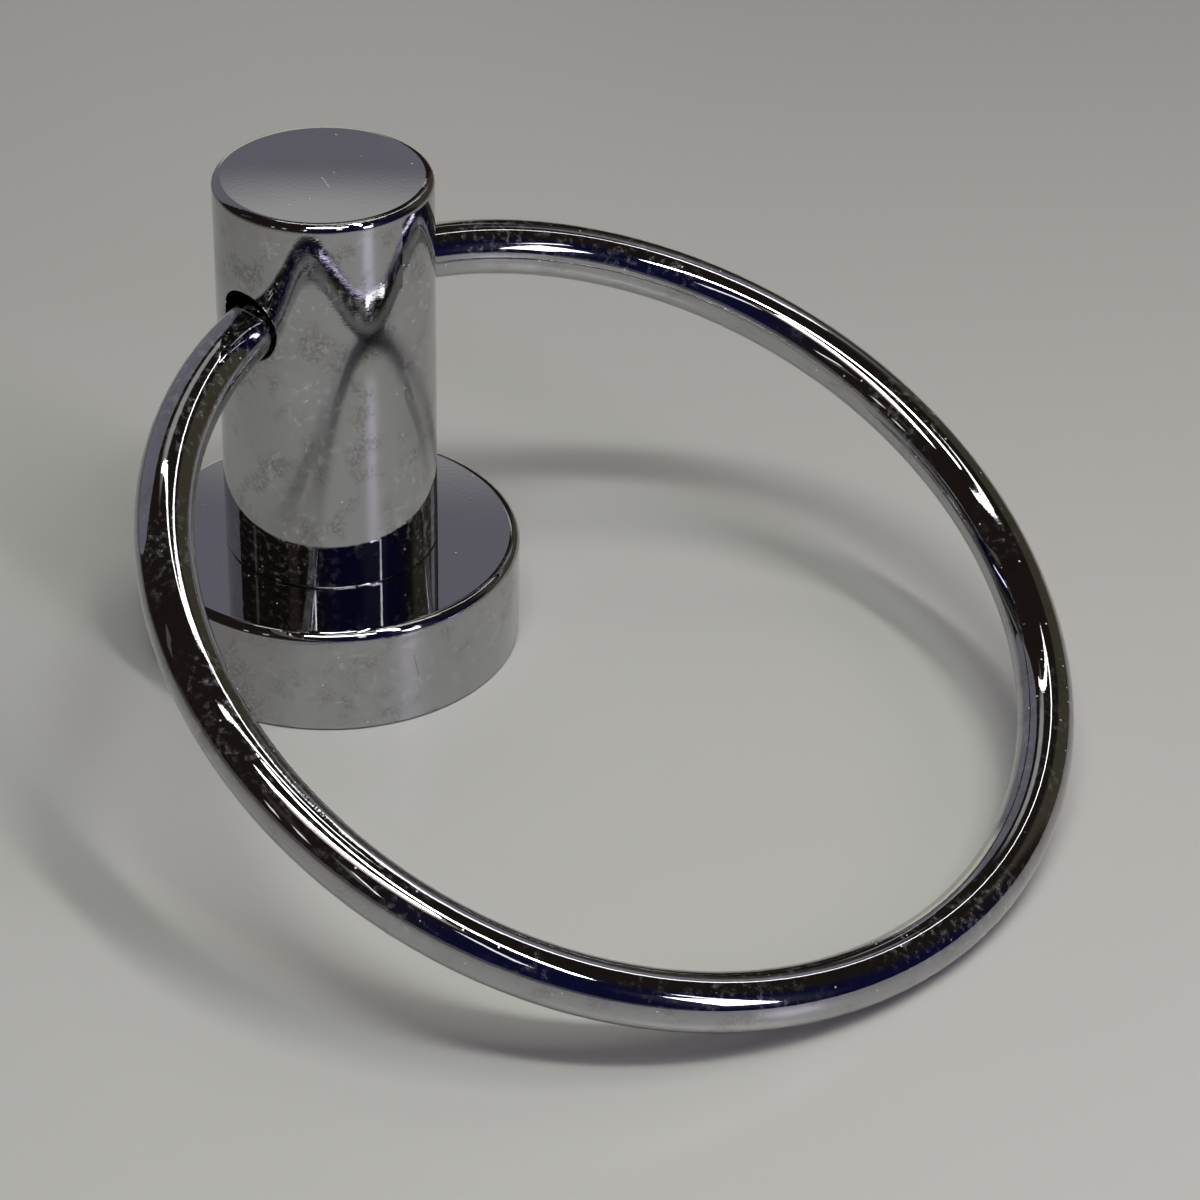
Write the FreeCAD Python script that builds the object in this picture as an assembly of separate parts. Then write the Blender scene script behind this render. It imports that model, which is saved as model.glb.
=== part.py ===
# Towel ring on a round wall post, with a concealed wall bracket.
# Sizes in millimetres. The origin is the centre of the flange's back face, where it meets the wall.
# +Z runs along the post, away from the wall. The ring's bar passes through the post along Y.
# +X is the side to which the ring has dropped.

import FreeCAD, Part
import math
import os

V = FreeCAD.Vector

# Flange: the deep cup that covers the bracket
FLANGE_D = 67.6
FLANGE_HEIGHT = 20.0
FLANGE_WALL = 3.4
FLANGE_TOP_THICK = 4.0
FLANGE_RIM_RADIUS = 1.8
FLANGE_FOOT_CHAMFER = 0.4
FLANGE_INNER_RADIUS = 1.5

# Post: solid bar standing on the flange
POST_D = 38.0
POST_LENGTH = 72.0
POST_CROWN = 0.12
POST_RIM_RADIUS = 1.6
POST_FOOT_RADIUS = 0.4
BORE_BELOW_TOP = 22.0
BORE_EDGE_RADIUS = 0.35

# Ring: one round bar, bent and closed
RING_CENTRELINE_R = 77.8
RING_BAR_D = 9.7
RING_TO_WALL = 0.05
BORE_CLEARANCE = 0.25

# Screw that holds the post on the flange
SCREW_D = 6.0
SCREW_LENGTH = 20.0
SCREW_HEAD_D = 10.0
SCREW_HEAD_HEIGHT = 6.0
SCREW_HEAD_CHAMFER = 0.5
SCREW_KEY_ACROSS = 5.0
SCREW_KEY_DEPTH = 3.2
SCREW_POINT_CHAMFER = 0.8
THREAD_CLEARANCE = 0.05
TAPPED_EXTRA_DEPTH = 5.0
DRILL_POINT_ANGLE = 118.0
DRILL_CHISEL_D = 0.8
SCREW_HOLE_CLEARANCE = 0.3
SCREW_HOLE_CHAMFER = 0.4

# Washers under the screw's head
WASHER_HOLE_CLEARANCE = 0.2
PLAIN_WASHER_D = 12.5
PLAIN_WASHER_THICK = 1.6
LOCK_WASHER_D = 11.8
LOCK_WASHER_THICK = 1.6
LOCK_WASHER_SPLIT = 1.0
LOCK_WASHER_SPLIT_ANGLE = 20.0

# Dowel that stops the post from turning
PIN_D = 3.0
PIN_LENGTH = 8.0
PIN_CHAMFER = 0.3
PIN_CLEARANCE = 0.02
PIN_END_CLEARANCE = 0.4
PIN_FROM_CENTRE = 11.0
PIN_IN_FLANGE = 3.4

# Wall bracket inside the flange
BRACKET_CLEARANCE = 0.3
BRACKET_HEIGHT = 10.0
BRACKET_FLOOR = 3.0
BRACKET_RIM_THICK = 4.6
BRACKET_EDGE_CHAMFER = 0.5
BRACKET_INNER_RADIUS = 1.2
GROOVE_HEIGHT = 5.6
GROOVE_DEPTH = 2.2
SLOT_SPACING = 36.0
SLOT_WIDTH = 5.0
SLOT_LENGTH = 9.0

# Set screw through the flange's side
GRUB_D = 5.0
GRUB_ABOVE_GROOVE = 0.4
GRUB_SUNK = 0.6
GRUB_TIP_D = 0.8
GRUB_TO_GROOVE = 0.03
GRUB_KEY_ACROSS = 2.5
GRUB_KEY_DEPTH = 1.8

# Sizes that follow from the ones above
FLANGE_R = FLANGE_D / 2
FLANGE_INNER_R = FLANGE_R - FLANGE_WALL
POST_R = POST_D / 2
POST_TOP = FLANGE_HEIGHT + POST_LENGTH
BORE_Z = POST_TOP - BORE_BELOW_TOP
RING_BAR_R = RING_BAR_D / 2
# The bar bends by this much across the post, so the straight bore is that much wider than the bar
BAR_BEND = RING_CENTRELINE_R - math.sqrt(RING_CENTRELINE_R ** 2 - POST_R ** 2)
BORE_R = RING_BAR_R + BAR_BEND / 2 + BORE_CLEARANCE
RING_CENTRE_OUT = RING_CENTRELINE_R - BAR_BEND / 2
# The ring drops until the underside of its far end reaches the wall's plane
RING_DROP = math.asin((BORE_Z - RING_TO_WALL - RING_BAR_R) / (RING_CENTRE_OUT + RING_CENTRELINE_R))
BRACKET_R = FLANGE_INNER_R - BRACKET_CLEARANCE
SCREW_SEAT_Z = FLANGE_HEIGHT - FLANGE_TOP_THICK


def rod(radius, z_low, z_high):
    """Upright round bar on the post's axis."""
    return Part.makeCylinder(radius, z_high - z_low, V(0, 0, z_low))


def turned(outline):
    """Solid turned about the post's axis from a closed outline of radius and height."""
    points = [V(radius, 0, z) for radius, z in outline]
    face = Part.Face(Part.makePolygon(points + [points[0]]))
    return face.revolve(V(0, 0, 0), V(0, 0, 1), 360)


def hexagon_prism(across_flats, height):
    """Upright hexagonal prism, standing on the origin."""
    corner_r = across_flats / math.sqrt(3)
    corners = [V(corner_r * math.cos(math.radians(60 * i)), corner_r * math.sin(math.radians(60 * i)), 0)
               for i in range(6)]
    return Part.Face(Part.makePolygon(corners + [corners[0]])).extrude(V(0, 0, height))


def edges_round(shape, radius, z):
    """The circular edges of this radius that lie at this height."""
    found = []
    for edge in shape.Edges:
        if edge.Degenerated or not isinstance(edge.Curve, Part.Circle):
            continue
        if abs(edge.Curve.Radius - radius) < 1e-4 and abs(edge.Curve.Center.z - z) < 1e-4:
            found.append(edge)
    return found


# Flange

def flange_cup():
    """Cup turned with its rounded rim, hollow towards the wall."""
    cup = rod(FLANGE_R, 0, FLANGE_HEIGHT)
    cup = cup.makeFillet(FLANGE_RIM_RADIUS, edges_round(cup, FLANGE_R, FLANGE_HEIGHT))
    cup = cup.makeChamfer(FLANGE_FOOT_CHAMFER, edges_round(cup, FLANGE_R, 0))
    hollow = rod(FLANGE_INNER_R, 0, SCREW_SEAT_Z)
    hollow = hollow.makeFillet(FLANGE_INNER_RADIUS, edges_round(hollow, FLANGE_INNER_R, SCREW_SEAT_Z))
    return cup.cut(hollow)


def grub_line():
    """Radius of the set screw's point, radius of its outer end, and its height."""
    groove_root = BRACKET_R - GROOVE_DEPTH
    apex = groove_root + GRUB_ABOVE_GROOVE + GRUB_TO_GROOVE * math.sqrt(2)
    return apex + GRUB_TIP_D / 2, FLANGE_R - GRUB_SUNK, GROOVE_HEIGHT + GRUB_ABOVE_GROOVE


def sideways(shape, start_r, z):
    """Turns an upright shape to lie along -X, with its base at this radius."""
    shape.rotate(V(0, 0, 0), V(0, 1, 0), -90)
    shape.translate(V(-start_r, 0, z))
    return shape


def make_flange():
    flange = flange_cup()
    screw_hole_r = SCREW_D / 2 + SCREW_HOLE_CLEARANCE
    flange = flange.cut(rod(screw_hole_r, SCREW_SEAT_Z, FLANGE_HEIGHT))
    flange = flange.makeChamfer(SCREW_HOLE_CHAMFER, edges_round(flange, screw_hole_r, SCREW_SEAT_Z))
    pin_hole = Part.makeCylinder(PIN_D / 2 + PIN_CLEARANCE, FLANGE_TOP_THICK,
                                 V(-PIN_FROM_CENTRE, 0, SCREW_SEAT_Z))
    flange = flange.cut(pin_hole)
    tip, end, z = grub_line()
    tapped = Part.makeCylinder(GRUB_D / 2 + THREAD_CLEARANCE, 2 * FLANGE_WALL)
    return flange.cut(sideways(tapped, FLANGE_INNER_R - FLANGE_WALL / 2, z))


# Post

def crowned(bar):
    """The bar with its top very slightly domed, as buffing leaves it."""
    dome_r = (POST_R ** 2 + POST_CROWN ** 2) / (2 * POST_CROWN)
    dome = Part.makeSphere(dome_r, V(0, 0, POST_TOP - dome_r), V(0, -1, 0))
    return bar.common(dome)


def post_bar():
    """Solid bar with its domed top, rounded rim, eased foot and cross bore."""
    bar = crowned(rod(POST_R, FLANGE_HEIGHT, POST_TOP))
    bar = bar.makeFillet(POST_RIM_RADIUS, edges_round(bar, POST_R, POST_TOP - POST_CROWN))
    bar = bar.makeFillet(POST_FOOT_RADIUS, edges_round(bar, POST_R, FLANGE_HEIGHT))
    bore = Part.makeCylinder(BORE_R, 4 * POST_R, V(0, -2 * POST_R, BORE_Z), V(0, 1, 0))
    bar = bar.cut(bore)
    mouths = [edge for edge in bar.Edges if is_mouth(edge)]
    return bar.makeFillet(BORE_EDGE_RADIUS, mouths)


def is_mouth(edge):
    """True for the saddle-shaped edges where the bore comes out of the post's side."""
    box = edge.BoundBox
    same_height = abs(box.ZMax - BORE_Z - BORE_R) < 0.01 or abs(BORE_Z - BORE_R - box.ZMin) < 0.01
    return same_height and box.XLength > BORE_R and box.YLength < POST_R


def tapped_hole():
    """Blind hole up the post's foot for the screw, with the drill's point at its end."""
    radius = SCREW_D / 2 + THREAD_CLEARANCE
    washers = PLAIN_WASHER_THICK + LOCK_WASHER_THICK
    screw_tip = SCREW_SEAT_Z - washers + SCREW_LENGTH
    bottom = screw_tip + TAPPED_EXTRA_DEPTH
    chisel_r = DRILL_CHISEL_D / 2
    point = (radius - chisel_r) / math.tan(math.radians(DRILL_POINT_ANGLE / 2))
    outline = [(0, FLANGE_HEIGHT), (radius + SCREW_HOLE_CHAMFER, FLANGE_HEIGHT),
               (radius, FLANGE_HEIGHT + SCREW_HOLE_CHAMFER), (radius, bottom),
               (chisel_r, bottom + point), (0, bottom + point)]
    return turned(outline)


def pin_height():
    """Heights of the dowel's two ends."""
    low = FLANGE_HEIGHT - PIN_IN_FLANGE
    return low, low + PIN_LENGTH


def make_post():
    low, high = pin_height()
    pin_hole = Part.makeCylinder(PIN_D / 2 + PIN_CLEARANCE, high + PIN_END_CLEARANCE - FLANGE_HEIGHT,
                                 V(-PIN_FROM_CENTRE, 0, FLANGE_HEIGHT))
    return post_bar().cut(tapped_hole()).cut(pin_hole)


# Ring

def make_ring():
    """Closed ring through the bore, dropped to +X until it reaches the wall's plane."""
    out = V(math.cos(RING_DROP), 0, -math.sin(RING_DROP))
    centre = V(0, 0, BORE_Z) + out * RING_CENTRE_OUT
    normal = V(math.sin(RING_DROP), 0, math.cos(RING_DROP))
    return Part.makeTorus(RING_CENTRELINE_R, RING_BAR_R, centre, normal)


# Post screw and its washers

def make_post_screw():
    """Cap screw, head towards the wall, with its hexagonal key socket."""
    seat = SCREW_SEAT_Z - PLAIN_WASHER_THICK - LOCK_WASHER_THICK
    head_low = seat - SCREW_HEAD_HEIGHT
    head_r = SCREW_HEAD_D / 2
    shank_r = SCREW_D / 2
    tip = seat + SCREW_LENGTH
    outline = [(0, head_low), (head_r - SCREW_HEAD_CHAMFER, head_low),
               (head_r, head_low + SCREW_HEAD_CHAMFER), (head_r, seat), (shank_r, seat),
               (shank_r, tip - SCREW_POINT_CHAMFER), (shank_r - SCREW_POINT_CHAMFER, tip), (0, tip)]
    socket = hexagon_prism(SCREW_KEY_ACROSS, SCREW_KEY_DEPTH)
    socket.translate(V(0, 0, head_low))
    return turned(outline).cut(socket)


def make_plain_washer():
    hole_r = SCREW_D / 2 + WASHER_HOLE_CLEARANCE
    low = SCREW_SEAT_Z - PLAIN_WASHER_THICK
    return rod(PLAIN_WASHER_D / 2, low, SCREW_SEAT_Z).cut(rod(hole_r, low, SCREW_SEAT_Z))


def make_lock_washer():
    """Spring washer clamped flat, so only its slanting split shows."""
    hole_r = SCREW_D / 2 + WASHER_HOLE_CLEARANCE
    high = SCREW_SEAT_Z - PLAIN_WASHER_THICK
    low = high - LOCK_WASHER_THICK
    washer = rod(LOCK_WASHER_D / 2, low, high).cut(rod(hole_r, low, high))
    split = Part.makeBox(LOCK_WASHER_D, LOCK_WASHER_SPLIT, 3 * LOCK_WASHER_THICK,
                         V(0, -LOCK_WASHER_SPLIT / 2, -1.5 * LOCK_WASHER_THICK))
    split.rotate(V(0, 0, 0), V(1, 0, 0), LOCK_WASHER_SPLIT_ANGLE)
    split.translate(V(0, 0, (low + high) / 2))
    return washer.cut(split)


# Dowel

def make_locating_pin():
    low, high = pin_height()
    pin = Part.makeCylinder(PIN_D / 2, PIN_LENGTH, V(-PIN_FROM_CENTRE, 0, low))
    return pin.makeChamfer(PIN_CHAMFER, edges_round(pin, PIN_D / 2, low) + edges_round(pin, PIN_D / 2, high))


# Wall bracket

def bracket_dish():
    """Dish turned with its V groove outside, open away from the wall."""
    root = BRACKET_R - GROOVE_DEPTH
    inner = BRACKET_R - BRACKET_RIM_THICK
    edge = BRACKET_EDGE_CHAMFER
    outline = [(0, 0), (BRACKET_R - edge, 0), (BRACKET_R, edge), (BRACKET_R, GROOVE_HEIGHT - GROOVE_DEPTH),
               (root, GROOVE_HEIGHT), (BRACKET_R, GROOVE_HEIGHT + GROOVE_DEPTH),
               (BRACKET_R, BRACKET_HEIGHT - edge), (BRACKET_R - edge, BRACKET_HEIGHT),
               (inner, BRACKET_HEIGHT), (inner, BRACKET_FLOOR), (0, BRACKET_FLOOR)]
    dish = turned(outline)
    return dish.makeFillet(BRACKET_INNER_RADIUS, edges_round(dish, inner, BRACKET_FLOOR))


def wall_slot(centre_y):
    """Slot for a wall screw, long towards the rim."""
    radius = SLOT_WIDTH / 2
    half = SLOT_LENGTH / 2 - radius
    left = Part.makeCylinder(radius, BRACKET_FLOOR, V(0, centre_y - half, 0))
    right = Part.makeCylinder(radius, BRACKET_FLOOR, V(0, centre_y + half, 0))
    middle = Part.makeBox(SLOT_WIDTH, 2 * half, BRACKET_FLOOR, V(-radius, centre_y - half, 0))
    return left.fuse(right).fuse(middle).removeSplitter()


def make_wall_bracket():
    bracket = bracket_dish()
    for side in (-1, 1):
        bracket = bracket.cut(wall_slot(side * SLOT_SPACING / 2))
    return bracket


# Set screw

def make_grub_screw():
    """Set screw along -X whose cone lies on the groove's upper flank and pulls the flange to the wall."""
    tip, end, z = grub_line()
    length = end - tip
    tip_r = GRUB_TIP_D / 2
    cone = GRUB_D / 2 - tip_r
    outline = [(0, 0), (tip_r, 0), (GRUB_D / 2, cone), (GRUB_D / 2, length), (0, length)]
    screw = turned(outline)
    socket = hexagon_prism(GRUB_KEY_ACROSS, GRUB_KEY_DEPTH)
    socket.translate(V(0, 0, length - GRUB_KEY_DEPTH))
    return sideways(screw.cut(socket), tip, z)


os.makedirs("parts", exist_ok=True)
make_flange().exportStep("parts/flange.step")
make_post().exportStep("parts/post.step")
make_ring().exportStep("parts/ring.step")
make_post_screw().exportStep("parts/post_screw.step")
make_plain_washer().exportStep("parts/plain_washer.step")
make_lock_washer().exportStep("parts/lock_washer.step")
make_locating_pin().exportStep("parts/locating_pin.step")
make_wall_bracket().exportStep("parts/wall_bracket.step")
make_grub_screw().exportStep("parts/grub_screw.step")
print("bore radius", round(BORE_R, 4), "ring drop", round(math.degrees(RING_DROP), 4),
      "bore height", BORE_Z, "bracket radius", BRACKET_R)
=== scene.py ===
import math

import bmesh
import bpy
from mathutils import Matrix, Vector

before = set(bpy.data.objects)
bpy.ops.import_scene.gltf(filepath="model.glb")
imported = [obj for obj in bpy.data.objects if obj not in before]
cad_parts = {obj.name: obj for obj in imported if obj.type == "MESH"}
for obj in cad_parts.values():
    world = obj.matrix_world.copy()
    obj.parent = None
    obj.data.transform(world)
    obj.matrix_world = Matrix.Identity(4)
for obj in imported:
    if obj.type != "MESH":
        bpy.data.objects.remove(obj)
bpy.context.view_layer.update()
bpy.context.scene.view_settings.view_transform = "Standard"


# Wall bracket. The dished steel disc that two screws hold on the wall, inside the flange. It is turned, so
# its faces carry fine rings from the tool, and it is left bare: dull, with a few darker handling stains.

def bare(name, colour, dullness):
    """A new metal finish; returns its material, its nodes' maker, its linker and its shader."""
    finish = bpy.data.materials.new(name)
    finish.use_nodes = True
    nodes, link = finish.node_tree.nodes, finish.node_tree.links.new
    shader = nodes["Principled BSDF"]
    shader.inputs["Base Color"].default_value = (*colour, 1)
    shader.inputs["Metallic"].default_value = 1
    shader.inputs["Roughness"].default_value = dullness

    def add(kind, **settings):
        node = nodes.new("ShaderNode" + kind)
        for key, value in settings.items():
            if key in node.inputs:
                if hasattr(value, "links"):
                    link(value, node.inputs[key])
                else:
                    node.inputs[key].default_value = value
            else:
                setattr(node, key, value)
        return node

    return finish, add, link, shader


def between(add, value, low, high):
    """Rises smoothly from 0 at low to 1 at high, or falls if low is above high."""
    return add("MapRange", Value=value, **{"From Min": low, "From Max": high},
               interpolation_type="SMOOTHSTEP").outputs["Result"]


def clouds(add, where, fineness, detail, low, high, distortion=0.0):
    """Soft patches from 0 to 1 in a noise of this many patches to the metre."""
    noise = add("TexNoise", Vector=where, Scale=fineness, Detail=detail, Distortion=distortion)
    return between(add, noise.outputs["Fac"], low, high)


def both(add, kind, first, second, clamp=False):
    """One sum, product or other plain maths of two values."""
    node = add("Math", operation=kind, use_clamp=clamp)
    for socket, value in zip(node.inputs, (first, second)):
        if hasattr(value, "links"):
            node.id_data.links.new(value, socket)
        else:
            socket.default_value = value
    return node.outputs[0]


def turned_steel(name, colour, dullness):
    """Steel off the lathe: fine rings round the Z axis, uneven sheen and faint stains."""
    lines_to_the_metre, line_height, line_strength = 9000, 0.00002, 0.25
    stain_darkness, stain_dullness = 0.72, 0.18
    finish, add, link, shader = bare(name, colour, dullness)
    here = add("TexCoord").outputs["Object"]
    apart = add("SeparateXYZ", Vector=here)
    across = add("CombineXYZ", X=apart.outputs["X"], Y=apart.outputs["Y"])
    radius = add("VectorMath", operation="LENGTH")
    link(across.outputs[0], radius.inputs[0])
    track = add("CombineXYZ", X=radius.outputs["Value"], Z=apart.outputs["Z"])
    grooves = add("TexNoise", Vector=track.outputs[0], Scale=lines_to_the_metre, Detail=2).outputs["Fac"]
    stain = clouds(add, here, 160, 5, 0.45, 0.7)
    dull = both(add, "ADD", dullness, both(add, "MULTIPLY", stain, stain_dullness))
    link(dull, shader.inputs["Roughness"])
    tint = add("Mix", data_type="RGBA")
    tint.inputs["A"].default_value = (*colour, 1)
    tint.inputs["B"].default_value = (*(stain_darkness * c for c in colour), 1)
    link(stain, tint.inputs["Factor"])
    link(tint.outputs[2], shader.inputs["Base Color"])
    bump = add("Bump", Strength=line_strength, Distance=line_height, Height=grooves)
    link(bump.outputs[0], shader.inputs["Normal"])
    return finish


def wear(node, finish):
    """Puts a finish on a CAD piece as it is."""
    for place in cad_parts[node].material_slots:
        place.material = finish


wear("wall_bracket", turned_steel("bracket_steel", (0.56, 0.56, 0.55), 0.32))


# Flange. The deep cup over the bracket, turned from brass, polished and chromed. A set screw through its side
# holds it. Its chrome is stained a little low down, and has one short dent mark beside the ring.

def product(add, first, *others):
    """These values multiplied together."""
    for other in others:
        first = both(add, "MULTIPLY", first, other)
    return first


def vector(add, kind, first, second):
    """The same maths for two vectors."""
    node = add("VectorMath", operation=kind)
    for socket, value in zip(node.inputs, (first, second)):
        if hasattr(value, "links"):
            node.id_data.links.new(value, socket)
        else:
            socket.default_value = value
    return node.outputs["Value" if kind in ("DOT_PRODUCT", "DISTANCE") else "Vector"]


def scratch(add, here, start, end, width):
    """1 along a straight scratch between two points and 0 off it."""
    start, end = Vector(start), Vector(end)
    along = vector(add, "DOT_PRODUCT", vector(add, "SUBTRACT", here, start),
                   (end - start) / (end - start).length_squared)
    along = both(add, "ADD", along, 0.0, clamp=True)
    step = add("VectorMath", operation="SCALE", Scale=along)
    step.inputs[0].default_value = end - start
    nearest = vector(add, "ADD", step.outputs["Vector"], start)
    return between(add, vector(add, "DISTANCE", here, nearest), width, 0.4 * width)


def fingerprint(add, here, centre, size):
    """The ridges of a faint print round this point."""
    middle_of_ridges = Vector(centre) + Vector((0, 0, 0.3 * size))
    ridges = add("TexWave", wave_type="RINGS", rings_direction="SPHERICAL", Scale=620, Distortion=5.0, Detail=1,
                 Vector=vector(add, "SUBTRACT", here, middle_of_ridges))
    ridges = between(add, ridges.outputs["Fac"], 0.45, 0.75)
    return product(add, ridges, between(add, vector(add, "DISTANCE", here, centre), size, 0.5 * size),
                   clouds(add, here, 700, 3, 0.3, 0.6))


def chrome(name, seed, smears, stains, dust, clean_above, marks=(), prints=(), dents=()):
    """Polished chrome as it is after handling.

    smears, stains and dust say how much of each there is, and nothing smears or stains it higher than
    clean_above. Marks are pale scratches and dents are dark ones, each a start, an end and a width. Prints are
    a finger's, each a centre and a size.
    """
    plate, soiled, hazy = (0.43, 0.43, 0.44), (0.28, 0.275, 0.265), (0.74, 0.74, 0.76)
    polish = 0.015
    finish, add, link, shader = bare(name, plate, polish)
    here = add("TexCoord").outputs["Object"]
    moved = add("Mapping", Vector=here, Location=(seed, 2 * seed, 3 * seed)).outputs[0]

    handled = clouds(add, moved, 60, 3, 0.42, 0.60)
    cloud = clouds(add, moved, 750, 10, 0.50, 0.68, 0.3)
    fine = clouds(add, moved, 4200, 3, 0.40, 0.62)
    height = add("SeparateXYZ", Vector=here).outputs["Z"]
    below = between(add, height, clean_above, clean_above - 0.003)
    uneven = both(add, "ADD", 0.15, product(add, fine, 0.85))
    smear = product(add, handled, cloud, uneven, smears, below)
    for centre, size in prints:
        smear = both(add, "ADD", smear, product(add, fingerprint(add, here, centre, size), 0.5))

    stain = product(add, clouds(add, moved, 170, 8, 0.47, 0.66, 0.3), clouds(add, moved, 1500, 4, 0.35, 0.6),
                    stains, below)
    dirt = product(add, stain, 0.9)
    for start, end, width in dents:
        dirt = both(add, "MAXIMUM", dirt, product(add, scratch(add, here, start, end, width), 3.0))

    grains = add("TexVoronoi", Vector=moved, Scale=1000)
    picked = add("SeparateColor", Color=grains.outputs["Color"]).outputs[0]
    speck = product(add, between(add, grains.outputs["Distance"], 0.24, 0.10),
                    both(add, "GREATER_THAN", picked, 1 - dust))
    for start, end, width in marks:
        speck = both(add, "MAXIMUM", speck, product(add, scratch(add, here, start, end, width), 0.8))

    haze = both(add, "ADD", product(add, smear, 0.30), product(add, speck, 0.7))
    link(both(add, "SUBTRACT", 1.0, haze, clamp=True), shader.inputs["Metallic"])
    dull = both(add, "ADD", both(add, "ADD", product(add, smear, 0.10), product(add, speck, 0.3)),
                both(add, "ADD", product(add, stain, 0.06), polish))
    link(dull, shader.inputs["Roughness"])

    darker = add("Mix", data_type="RGBA", clamp_factor=True)
    darker.inputs["A"].default_value = (*plate, 1)
    darker.inputs["B"].default_value = (*soiled, 1)
    link(dirt, darker.inputs["Factor"])
    lighter = add("Mix", data_type="RGBA")
    lighter.inputs["B"].default_value = (*hazy, 1)
    link(darker.outputs[2], lighter.inputs["A"])
    link(both(add, "MAXIMUM", speck, product(add, smear, 0.6)), lighter.inputs["Factor"])
    link(lighter.outputs[2], shader.inputs["Base Color"])

    buffed = add("Mapping", Vector=moved, Scale=(1, 1, 2.5)).outputs[0]
    grain = add("TexNoise", Vector=buffed, Scale=1500, Detail=2).outputs["Fac"]
    bump = add("Bump", Strength=0.5, Distance=0.000004, Height=grain)
    link(bump.outputs[0], shader.inputs["Normal"])
    return finish


wear("flange", chrome("flange_chrome", 0.0, smears=0.7, stains=0.9, dust=0.012, clean_above=0.0195,
                      dents=[((0.0319, -0.0111, 0.0137), (0.0322, -0.0103, 0.0090), 0.00012)]))


# Post. A thick bar of solid brass, turned, cross-bored for the ring and chromed; one screw from behind draws it
# on the flange. It is handled most: smears and stains, a fingerprint by the bore and a scratch on its top.

wear("post", chrome("post_chrome", 0.7, smears=1.0, stains=1.0, dust=0.02, clean_above=0.091,
                    marks=[((0.0008, -0.0010, 0.092), (0.0042, -0.0026, 0.092), 0.00010)],
                    prints=[((0.0092, -0.0166, 0.060), 0.0050)]))


# Dowel, post screw and its two washers. Plain steel parts: the screw comes from behind through the flange into
# the post, the washers lie under its head, and the dowel beside it keeps the post from turning.

wear("locating_pin", turned_steel("pin_steel", (0.5, 0.5, 0.5), 0.3))
wear("plain_washer", turned_steel("washer_steel", (0.6, 0.6, 0.6), 0.35))
wear("lock_washer", bpy.data.materials["washer_steel"])
wear("post_screw", turned_steel("screw_steel", (0.45, 0.45, 0.46), 0.35))


# Ring. One round brass bar, bent to a circle through the post's bore, welded, ground smooth and chromed. It
# hangs loose in the bore. Towels and hands leave smears and dust all along it.

wear("ring", chrome("ring_chrome", 1.9, smears=0.8, stains=0.6, dust=0.05, clean_above=0.5))


# Set screw. Dark hardened steel with a cone point, turned in through the side of the flange until it bites in
# the bracket's groove and pulls the flange on the wall.

wear("grub_screw", turned_steel("grub_steel", (0.2, 0.2, 0.21), 0.4))


# Table. The smooth, pale table top that the object stands on. Further off than the photograph shows it, the
# camera sees a plain pale grey in its place, as a backdrop for the other views.

top = bmesh.new()
bmesh.ops.create_grid(top, x_segments=1, y_segments=1, size=6.0)
sheet = bpy.data.meshes.new("table")
top.to_mesh(sheet)
finish, add, link, shader = bare("table_top", (0.535, 0.53, 0.503), 0.30)
shader.inputs["Metallic"].default_value = 0
backdrop_starts, backdrop_full = 0.4, 1.2
away_from_object = vector(add, "DISTANCE", add("TexCoord").outputs["Object"], (0, 0, 0))
far = between(add, away_from_object, backdrop_starts, backdrop_full)
pale = add("Emission", Color=(0.38, 0.38, 0.36, 1))
seen = add("MixShader")
link(product(add, far, add("LightPath").outputs["Is Camera Ray"]), seen.inputs[0])
link(shader.outputs[0], seen.inputs[1])
link(pale.outputs[0], seen.inputs[2])
link(seen.outputs[0], finish.node_tree.nodes["Material Output"].inputs["Surface"])
sheet.materials.append(finish)
table = bpy.data.objects.new("table", sheet)
bpy.context.collection.objects.link(table)


# Light. Long narrow lamps hang over the table and a window stands beside it, in a dim room with two pale walls
# and a few small lamps, all of them where the chrome mirrors them. They are cards that the camera doesn't see.

def glow(name, colour, strength, soft=()):
    """A lit surface; strength is how bright it looks, and soft is how much of it fades to its ends and sides."""
    finish = bpy.data.materials.new(name)
    finish.use_nodes = True
    nodes, link = finish.node_tree.nodes, finish.node_tree.links.new
    nodes.clear()
    light = nodes.new("ShaderNodeEmission")
    light.inputs["Color"].default_value = (*colour, 1)
    light.inputs["Strength"].default_value = strength
    end = nodes.new("ShaderNodeOutputMaterial")
    link(light.outputs[0], end.inputs[0])
    if soft:
        where = nodes.new("ShaderNodeSeparateXYZ")
        link(nodes.new("ShaderNodeTexCoord").outputs["UV"], where.inputs[0])
        shown = nodes.new("ShaderNodeMath")
        shown.operation = "MULTIPLY"
        for side in (0, 1):
            fold = nodes.new("ShaderNodeMath")
            fold.operation = "PINGPONG"
            fold.inputs[1].default_value = 0.5
            link(where.outputs[side], fold.inputs[0])
            fade = nodes.new("ShaderNodeMapRange")
            fade.interpolation_type = "SMOOTHSTEP"
            fade.inputs["From Max"].default_value = soft[side] / 2
            link(fold.outputs[0], fade.inputs["Value"])
            link(fade.outputs[0], shown.inputs[side])
        mix = nodes.new("ShaderNodeMixShader")
        link(shown.outputs[0], mix.inputs[0])
        link(nodes.new("ShaderNodeBsdfTransparent").outputs[0], mix.inputs[1])
        link(light.outputs[0], mix.inputs[2])
        link(mix.outputs[0], end.inputs[0])
    return finish, light


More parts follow.
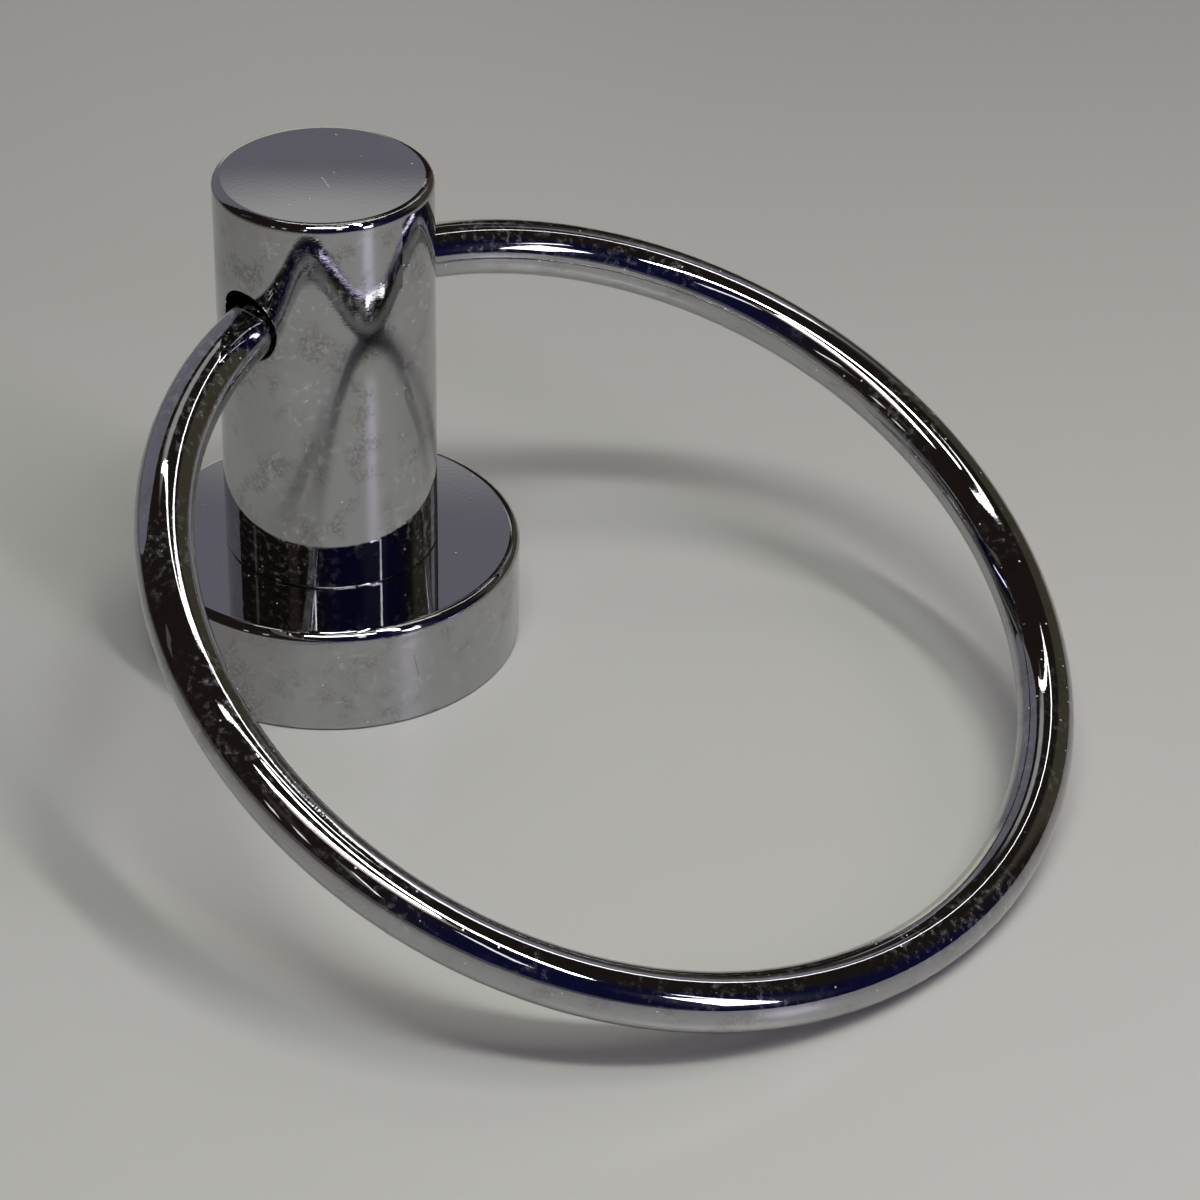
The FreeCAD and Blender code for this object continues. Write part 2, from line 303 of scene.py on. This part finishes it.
def lit_card(name, place, colour, strength, soft):
    """A flat card of 2 by 2 units put in place by this matrix."""
    mesh = bpy.data.meshes.new(name)
    shape = bmesh.new()
    shape.loops.layers.uv.new()
    bmesh.ops.create_grid(shape, x_segments=1, y_segments=1, size=1.0, calc_uvs=True)
    bmesh.ops.transform(shape, matrix=place, verts=shape.verts)
    shape.to_mesh(mesh)
    mesh.materials.append(glow(name, colour, strength, soft)[0])
    card = bpy.data.objects.new(name, mesh)
    bpy.context.collection.objects.link(card)
    card.visible_camera = False


def hung_card(name, x, y, long, wide, turn, colour, strength, height=0.9, soft=()):
    """A level card over the table; x, y, long and wide are shares of its height, and turn is in degrees."""
    place = Matrix.Translation(Vector((x, y, 1)) * height) @ Matrix.Rotation(math.radians(turn), 4, "Z")
    place = place @ Matrix.Diagonal((long / 2 * height, wide / 2 * height, 1, 1))
    lit_card(name, place, colour, strength, soft)


def wall_card(name, azimuth, elevation, wide, high, colour, strength, away=2.0, soft=()):
    """A card that faces the object from this direction, wide by high degrees as seen from there."""
    a, e = math.radians(azimuth), math.radians(elevation)
    out = Vector((math.cos(a) * math.cos(e), math.sin(a) * math.cos(e), math.sin(e)))
    half_wide = away * math.tan(math.radians(wide / 2))
    half_high = away * math.tan(math.radians(high / 2))
    place = Matrix.Translation(out * away) @ out.to_track_quat("-Z", "Y").to_matrix().to_4x4()
    lit_card(name, place @ Matrix.Diagonal((half_wide, half_high, 1, 1)), colour, strength, soft)


# The two bright lamps throw the shadows, and the thin ones draw the long lines on the ring.
hung_card("lamp_second", 0.359, -0.268, 0.53, 0.09, 38, (0.96, 1.0, 0.97), 31.0)
hung_card("lamp_third", 0.55, 0.072, 0.76, 0.06, -11, (1.0, 0.99, 0.96), 30.0)
hung_card("lamp_overhead", 0.135, 0.20, 0.66, 0.028, 76, (1.0, 1.0, 0.97), 5.0)
hung_card("lamp_side", -0.215, 0.255, 0.62, 0.032, 32, (1.0, 0.99, 0.94), 5.0)
hung_card("lamp_side_2", 0.078, 0.60, 0.37, 0.028, 82, (1.0, 1.0, 0.97), 4.5)
hung_card("lamp_side_3", 0.015, 1.07, 0.60, 0.035, 106, (1.0, 1.0, 0.97), 4.0)
hung_card("lamp_second_glow", 0.428, -0.356, 0.65, 0.24, 38, (1.0, 0.84, 0.79), 1.7, height=0.92, soft=(0.5, 0.9))
hung_card("ceiling_patch", -0.45, 0.40, 0.7, 0.30, 80, (1.0, 1.0, 0.96), 0.5, height=1.8, soft=(0.5, 0.5))

# The window with its slit and curtain, to the +X side.
wall_card("window", 1.5, 23.5, 9, 16.5, (0.82, 0.74, 1.0), 8.0, away=0.8)
wall_card("window_slit", 10, 36, 1.8, 12, (0.97, 0.96, 1.0), 4.0)
wall_card("curtain", 3, 22, 34, 34, (0.55, 0.55, 1.0), 0.07, away=1.5, soft=(0.6, 0.6))

# The pale walls that the flat tops of the post and the flange mirror, and the low walls round the room.
wall_card("pale_patch", 142, 9, 26, 24, (1.0, 0.98, 0.82), 0.8, soft=(0.5, 0.5))
wall_card("pale_band", 130, 30.6, 22, 4.8, (1.0, 1.0, 0.97), 0.58, away=4.0, soft=(0.35, 0.9))
wall_card("lilac_band", 131, 27.6, 10, 1.6, (0.85, 0.80, 1.1), 0.30, away=3.9, soft=(0.8, 0.9))
wall_card("far_wall", 165, 18, 84, 60, (0.95, 0.92, 1.08), 0.235, away=4.2)
wall_card("near_wall", -75, 3, 140, 12, (0.95, 0.95, 1.0), 0.12, away=2.2, soft=(0.6, 0.6))
wall_card("shelf", 85, 20, 60, 50, (1.0, 0.88, 0.62), 0.08, away=2.2, soft=(0.3, 0.3))

# Small lamps and panels that show in the dark band at the foot of the post and on the ring.
wall_card("strip_lamp", -135, 32, 3, 20, (1, 1, 1), 0.12)
wall_card("lamp_a", -95, 20, 3, 5, (1, 1, 1), 1.5)
wall_card("lamp_b", -84, 27, 3, 5, (1, 1, 1), 1.5)
wall_card("brown_panel", -86, 36, 12, 16, (1.0, 0.72, 0.55), 0.06, soft=(0.5, 0.5))
wall_card("grey_post", -66, 34, 4.5, 14, (0.95, 0.95, 1.0), 0.16)
wall_card("edge_lamp", -63, 34, 1.2, 12, (1, 1, 1), 3.0)
wall_card("lamp_c", -26, 43, 3, 14, (1, 1, 1), 2.0)
wall_card("lamp_d", 99, 36, 12, 24, (0.9, 0.85, 1.1), 0.35, soft=(0.5, 0.2))

# The dim room round it all: brown-black, and a dark blue to the window's side.
shape = bmesh.new()
bmesh.ops.create_uvsphere(shape, u_segments=64, v_segments=32, radius=5.0)
bmesh.ops.bisect_plane(shape, geom=shape.verts[:] + shape.edges[:] + shape.faces[:], plane_co=(0, 0, -0.01),
                       plane_no=(0, 0, 1), clear_inner=True)
dome = bpy.data.meshes.new("tent")
shape.to_mesh(dome)
dim, light = glow("tent", (1, 1, 1), 1.0)
dome.materials.append(dim)
nodes, link = dim.node_tree.nodes, dim.node_tree.links.new
to_the_window = nodes.new("ShaderNodeVectorMath")
to_the_window.operation = "DOT_PRODUCT"
link(nodes.new("ShaderNodeTexCoord").outputs["Object"], to_the_window.inputs[0])
to_the_window.inputs[1].default_value = (0.198, -0.028, 0)
blue = nodes.new("ShaderNodeMapRange")
blue.interpolation_type = "SMOOTHSTEP"
blue.inputs["From Min"].default_value = 0.40
blue.inputs["From Max"].default_value = 0.74
link(to_the_window.outputs["Value"], blue.inputs["Value"])
shade = nodes.new("ShaderNodeMix")
shade.data_type = "RGBA"
shade.inputs["A"].default_value = (0.022, 0.016, 0.0135, 1)
shade.inputs["B"].default_value = (0.008, 0.0085, 0.045, 1)
link(blue.outputs[0], shade.inputs["Factor"])
link(shade.outputs[2], light.inputs["Color"])
tent = bpy.data.objects.new("tent", dome)
bpy.context.collection.objects.link(tent)
tent.visible_camera = False

world = bpy.data.worlds.new("room")
world.use_nodes = True
world.node_tree.nodes["Background"].inputs["Color"].default_value = (0.45, 0.45, 0.44, 1)
bpy.context.scene.world = world


# Camera, where the photograph was taken from. Its three axes, its place and its lens fit the edges of the
# flange, the post and the ring.

lens = bpy.data.cameras.new("camera")
lens.sensor_width = 36
lens.lens = 112.660
camera = bpy.data.objects.new("camera", lens)
bpy.context.collection.objects.link(camera)
right = (0.7344997, 0.67838011, 0.01762452)
up = (-0.38874098, 0.39932818, 0.83031166)
back = (0.55622895, -0.61671504, 0.55702057)
place = Matrix((right, up, back)).transposed().to_4x4()
place.translation = (0.416545, -0.389436, 0.387302)
camera.matrix_world = place
bpy.context.scene.camera = camera
